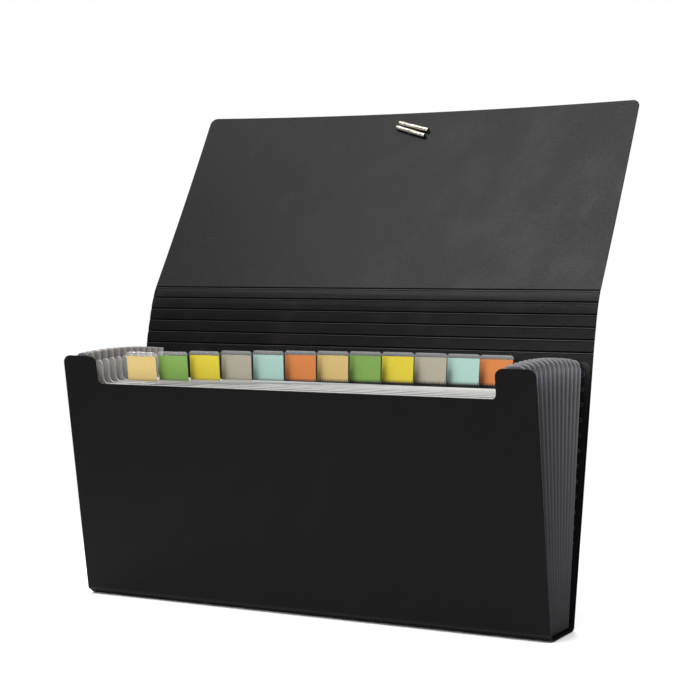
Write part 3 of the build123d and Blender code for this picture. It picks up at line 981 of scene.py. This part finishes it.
def cardTree():
    # a card with a pinked lower edge: a strip whose lower row of points goes up and down
    tree, given = newTree("pinkedCard", {
        "Float": ["Width", "Height", "Tooth Depth"], "Int": ["Teeth", "Rows"]})
    double = addNode(tree, "ShaderNodeMath", {0: given["Teeth"], 1: 2.0}, operation="MULTIPLY")
    columns = addNode(tree, "ShaderNodeMath", {0: double, 1: 1.0}, operation="ADD")
    grid = addNode(tree, "GeometryNodeMeshGrid", {
        "Size X": given["Width"], "Size Y": given["Height"], "Vertices X": columns,
        "Vertices Y": given["Rows"]})
    spot = addNode(tree, "ShaderNodeSeparateXYZ", {0: addNode(tree, "GeometryNodeInputPosition")}).outputs
    half = addNode(tree, "ShaderNodeMath", {0: given["Width"], 1: 0.5}, operation="MULTIPLY")
    along = addNode(tree, "ShaderNodeMath", {0: spot["X"], 1: half}, operation="ADD")
    tooth = addNode(tree, "ShaderNodeMath", {0: given["Width"], 1: double}, operation="DIVIDE")
    wave = addNode(tree, "ShaderNodeMath", {0: along, 1: tooth}, operation="PINGPONG")
    wave = addNode(tree, "ShaderNodeMath", {0: wave, 1: tooth}, operation="DIVIDE")
    rise = addNode(tree, "ShaderNodeMath", {0: wave, 1: given["Tooth Depth"]}, operation="MULTIPLY")
    # just short of half the height picks out the lowest row, whose notches get painted shade
    foot = addNode(tree, "ShaderNodeMath", {0: given["Height"], 1: -0.49}, operation="MULTIPLY")
    low = addNode(tree, "ShaderNodeMath", {0: spot["Y"], 1: foot}, operation="LESS_THAN")
    bruise = addNode(tree, "ShaderNodeMath", {0: wave, 1: low}, operation="MULTIPLY")
    marked = addNode(tree, "GeometryNodeStoreNamedAttribute", {
        "Geometry": grid, "Name": "bruise", "Value": bruise}, data_type="FLOAT", domain="POINT")
    shift = addNode(tree, "ShaderNodeCombineXYZ", {"Y": rise})
    pinked = addNode(tree, "GeometryNodeSetPosition", {
        "Geometry": marked, "Selection": low, "Offset": shift})
    return endTree(tree, given, pinked)


pinkedCard = cardTree()
dividerHalf = gusset["inner"] - divider["sideGap"]
dividerLoop = earedLoop(
    dividerHalf, recessHalf, 0, divider["recessHeight"], divider["earHeight"], divider["earRadius"],
    divider["recessRadius"])


def rippleOf(phase):
    # a slack sheet held at its sides: it waves a little between them, and lies flat at its foot
    def ripple(u, v):
        held = 1 - (u / dividerHalf) ** 2
        swing = math.sin(2 * math.pi * u / divider["waveLength"] + phase)
        return divider["wave"] * held * (v / divider["earHeight"]) * swing
    return ripple


for number, node in enumerate(dividerNames, 1):
    axis = fanAxes[number - 1]
    lean = leanOf(node, axis)
    # the rim material reaches a narrow border just over the recess edge: a painted highlight there
    sheet = sheetPiece(
        f"{node}_sheet", [dividerLoop], divider, [frostedSheet, frostedRimHighlight],
        panelPlace(axis, lean, rippleOf(number * divider["phase"])),
        divider["recessHeight"] + divider["border"])
    dress(sheet, node, "frosted_divider", node)
    insert = f"tab_insert_{number:02d}"
    low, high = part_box(insert)
    middle = (low.x + high.x) / 2 / mm
    colour = (number - 1) % len(cards)
    slip = grow(
        f"tab_card_{number:02d}", pinkedCard, dict(card, material=cards[colour]), card["sheet"])
    panel = panelPlace(axis, lean)
    centreUp = card["footHeight"] + card["height"] / 2
    putInPlace(slip, lambda x, y, z: panel(middle + x, centreUp + y, card["lift"] + z))
    dress(slip, f"insert_{number:02d}", cardSlots[colour], insert)
    # the sleeve keeps its CAD shape, with a rim that starts at the top of its card
    up = Vector((0, math.sin(lean), math.cos(lean)))
    cardTop = Vector(panel(0, card["footHeight"] + card["height"], 0)).dot(up)
    sleeve = frame["nodes"][f"tab_sleeve_{number:02d}"].data
    sleeve.materials.clear()
    sleeve.materials.append(clearVinyl(f"clearVinyl_{number:02d}", up, cardTop * mm))
pocketFloor = frame["nodes"]["pocket_floor"].data
pocketFloor.materials.clear()
pocketFloor.materials.append(frostedSheet)
print("dividers and tabs made")


# Elastic: two crimped metal ends on the flap's inner face, and the bight that holds them

crimp = dict(
    length=20.0, radius=1.2, bore=0.75, spacing=3.4, seat=0.1, turns=(-16.7, -19.4), rings=64, sides=28,
    cutLength=0.25, cutDepth=0.12, closedLength=1.0, closedDepth=0.35, dentTurn=0.55, creaseAngle=40.0)
# dents of the upper and the lower end: (place share, turn, size, depth)
crimpDents = [
    [(-0.62, 1.9, 0.7, 0.2), (-0.3, 1.1, 0.9, 0.22), (0.1, 1.7, 1.4, 0.14), (0.55, 1.3, 0.8, 0.12)],
    [(-0.55, 1.5, 1.3, 0.1), (0.42, 1.4, 0.5, 0.3), (0.64, 1.5, 0.5, 0.3), (-0.05, 2.0, 1.0, 0.1)],
]


def crimpRadius(x, turn, dents):
    # the rolled strip's radius, less at its cut end, at its closed end and in its dents
    half = crimp["length"] / 2
    cut = max(0.0, x - half + crimp["cutLength"]) / crimp["cutLength"]
    closed = max(0.0, crimp["closedLength"] - x - half)
    radius = crimp["radius"] - crimp["cutDepth"] * cut ** 2 - crimp["closedDepth"] * closed ** 2
    for spot, at, size, depth in dents:
        away = ((x - spot * half) / size) ** 2
        around = (math.remainder(turn - at, 2 * math.pi) / crimp["dentTurn"]) ** 2
        radius -= depth * math.exp(-away - around)
    return radius


def crimpPiece(name, dents):
    # a rolled tube along x with small pinched dents, open at both ends
    shape = bmesh.new()
    turns = turnsOf(crimp["sides"])
    stations = [(k / crimp["rings"] - 0.5) * crimp["length"] for k in range(crimp["rings"] + 1)]

    def ringAt(x, radiusAt):
        return [
            shape.verts.new((x, radiusAt(x, turn) * math.cos(turn), radiusAt(x, turn) * math.sin(turn)))
            for turn in turns
        ]

    outside = [ringAt(x, lambda x, turn: crimpRadius(x, turn, dents)) for x in stations]
    bore = [ringAt(x, lambda x, turn: crimp["bore"]) for x in (stations[0], stations[-1])]
    bridge(shape, [bore[0], *outside, bore[1], bore[0]])
    bmesh.ops.recalc_face_normals(shape, faces=shape.faces[:])
    return shapedPiece(name, shape, [plating])


flapPlace = panelPlace(flapAxis, flapLean)
pairTurn = math.radians(sum(crimp["turns"]) / 2)


def layOnFlap(turn, lift, offset=Vector((0, 0))):
    # turned about the flap's hole, set off from it and lifted off the sheet's middle
    def lay(x, y, z):
        flat = Matrix.Rotation(turn, 2) @ Vector((x, y)) + offset
        return flapPlace(holePlace[0] + flat.x, holeUp + flat.y, lift + z)
    return lay


crimpLift = cover["sheet"] / 2 + crimp["seat"] + crimp["radius"]
for label, turn, side, dents in zip(("upper", "lower"), crimp["turns"], (1, -1), crimpDents):
    offset = Matrix.Rotation(pairTurn, 2) @ Vector((0, side * crimp["spacing"] / 2))
    bar = crimpPiece(f"crimp_{label}", dents)
    putInPlace(bar, layOnFlap(math.radians(turn), crimpLift, offset), crimp["creaseAngle"])
    dress(bar, "elastic_ends", "nickel_crimp", f"crimp_end_{label}")

bight = dict(
    radius=0.8, tail=0.5, endGap=0.05, steps=16, sides=14, braidAround=4, braidAlong=8, washerRadius=2.55,
    washerHalf=0.22, washerSides=28, creaseAngle=60.0)


def bightPath():
    # (place, direction) along a half circle behind the flap, with a leg up through the hole at each end
    reach = crimp["spacing"] / 2
    top = cover["sheet"] / 2 + crimp["seat"] - bight["endGap"]
    bottom = -cover["sheet"] / 2 - bight["tail"]
    legs = [
        [(Vector((side * reach, height)), Vector((0, side))) for height in (top, (top + bottom) / 2)]
        for side in (1, -1)
    ]
    turns = [-math.pi * s / bight["steps"] for s in range(bight["steps"] + 1)]
    bend = [
        (Vector((reach * math.cos(t), bottom + reach * math.sin(t))), Vector((-math.sin(t), math.cos(t))))
        for t in turns
    ]
    return [*legs[0], *bend, *legs[1][::-1]]


def bightPiece():
    # a braided cord bent behind the flap, its two legs up through the small washer that fills the hole
    shape = bmesh.new()
    layer = shape.loops.layers.uv.new("braid")
    rows = []
    for spot, along in bightPath():
        side = Vector((-along.y, along.x)) * bight["radius"]
        rows.append([
            shape.verts.new((
                bight["radius"] * math.cos(turn), spot.x + side.x * math.sin(turn),
                spot.y + side.y * math.sin(turn)))
            for turn in turnsOf(bight["sides"])])
    for number, face in enumerate(bridge(shape, rows)):
        k, s = divmod(number, bight["sides"])
        for loop, (around, along) in zip(face.loops, ((s, k), (s + 1, k), (s + 1, k + 1), (s, k + 1))):
            loop[layer].uv = (
                around / bight["sides"] * bight["braidAround"], along / len(rows) * bight["braidAlong"])
    discs = [
        [shape.verts.new((*point, height))
         for point in ring(0, 0, bight["washerRadius"], bight["washerSides"])]
        for height in (-bight["washerHalf"], bight["washerHalf"])
    ]
    bridge(shape, discs)
    for cap in (rows[0], rows[-1], *discs):
        shape.faces.new(cap)
    bmesh.ops.recalc_face_normals(shape, faces=shape.faces[:])
    return shapedPiece("elastic_loop", shape, [braid])


loopPiece = putInPlace(bightPiece(), layOnFlap(pairTurn, 0.0), bight["creaseAngle"])
dress(loopPiece, "elastic_ends", "black_elastic", "elastic_bight")
print("elastic made")


# Stage, light and camera, in metres

studio = dict(floorSize=0.8, floorTones=("#f8f8f8", "#fbfbfb"), fade=(0.14, 0.34))
softboxes = [
    dict(name="keySoftbox", place=(-0.35, -0.75, 1.58), target=(0, 0.06, 0.2), size=(1.1, 0.9), power=28.0),
    dict(name="fillSoftbox", place=(-0.3, -2.2, 0.65), target=(0, 0, 0.12), size=(1.0, 0.8), power=17.5),
    dict(name="topSoftbox", place=(1.0, 0.7, 1.7), target=(0.1, 0.1, 0.1), size=(1.2, 1.2), power=14.0),
    dict(name="rearSoftbox", place=(-0.7, 1.6, 0.9), target=(0, 0.1, 0.1), size=(1.2, 1.0), power=34.0),
]
viewer = dict(place=(0.4083, -0.74585, 0.1749), yaw=27.65, pitch=-2.94, lens=87.8, sensor=36.0, near=0.01)


def paleFloor():
    # a matt white tabletop that fades out into the white surround
    material, tree, coords = newMaterial("mattTabletop")
    cloud = addNode(tree, "ShaderNodeTexNoise", {"Vector": coords["Object"], "Scale": 2.0})
    dim, bright = studio["floorTones"]
    tone = addNode(tree, "ShaderNodeMix", {0: cloud, 6: srgb(dim), 7: srgb(bright)}, data_type="RGBA")
    away = addNode(tree, "ShaderNodeVectorMath", {0: coords["Object"]}, operation="LENGTH")
    solid = addNode(tree, "ShaderNodeMapRange", {
        "Value": away, "From Min": studio["fade"][0], "From Max": studio["fade"][1], "To Min": 1.0,
        "To Max": 0.0}, interpolation_type="SMOOTHSTEP")
    shade(tree, {"Base Color": tone, "Roughness": 0.9, "Specular IOR Level": 0.1, "Alpha": solid})
    half = studio["floorSize"] / 2
    mesh = bpy.data.meshes.new("tabletop")
    mesh.from_pydata(
        [(-half, -half, 0), (half, -half, 0), (half, half, 0), (-half, half, 0)], [], [(0, 1, 2, 3)])
    mesh.materials.append(material)
    newPiece("tabletop", mesh)


def softbox(name, place, target, size, power):
    lamp = bpy.data.lights.new(name, "AREA")
    lamp.shape = "RECTANGLE"
    lamp.size, lamp.size_y = size
    lamp.energy = power
    holder = newPiece(name, lamp)
    holder.location = place
    holder.rotation_euler = (Vector(target) - Vector(place)).to_track_quat("-Z", "Y").to_euler()
    holder.visible_camera = False


def paleWorld():
    # a plain white surround whose light comes from above and back up from the table round the small floor
    world = bpy.data.worlds.new("studio")
    world.use_nodes = True
    tree = world.node_tree
    tree.nodes.clear()
    coords = addNode(tree, "ShaderNodeTexCoord").outputs
    height = addNode(tree, "ShaderNodeSeparateXYZ", {0: coords["Object"]}).outputs["Z"]
    above = addNode(tree, "ShaderNodeMapRange", {
        "Value": height, "From Min": 0.35, "From Max": 0.9, "To Min": 0.08, "To Max": 0.95},
        interpolation_type="SMOOTHSTEP")
    below = addNode(tree, "ShaderNodeMapRange", {
        "Value": height, "From Min": -0.05, "From Max": 0.0, "To Min": 0.75, "To Max": 0.0})
    light = addNode(tree, "ShaderNodeMath", {0: above, 1: below}, operation="ADD")
    lit = addNode(tree, "ShaderNodeBackground", {"Color": (1, 1, 1, 1), "Strength": light})
    seen = addNode(tree, "ShaderNodeBackground", {"Color": (1, 1, 1, 1), "Strength": 1.0})
    ray = addNode(tree, "ShaderNodeLightPath").outputs["Is Camera Ray"]
    both = addNode(tree, "ShaderNodeMixShader", {0: ray, 1: lit, 2: seen})
    addNode(tree, "ShaderNodeOutputWorld", {"Surface": both})
    bpy.context.scene.world = world


paleFloor()
paleWorld()
for box in softboxes:
    softbox(**box)
camera = bpy.data.cameras.new("viewer")
camera.lens = viewer["lens"]
camera.sensor_width = viewer["sensor"]
camera.clip_start = viewer["near"]
holder = newPiece("viewer", camera)
holder.location = viewer["place"]
holder.rotation_euler = (math.radians(90 + viewer["pitch"]), 0, math.radians(viewer["yaw"]))
bpy.context.scene.camera = holder
bpy.context.scene.view_settings.view_transform = "Standard"
print("stage set")
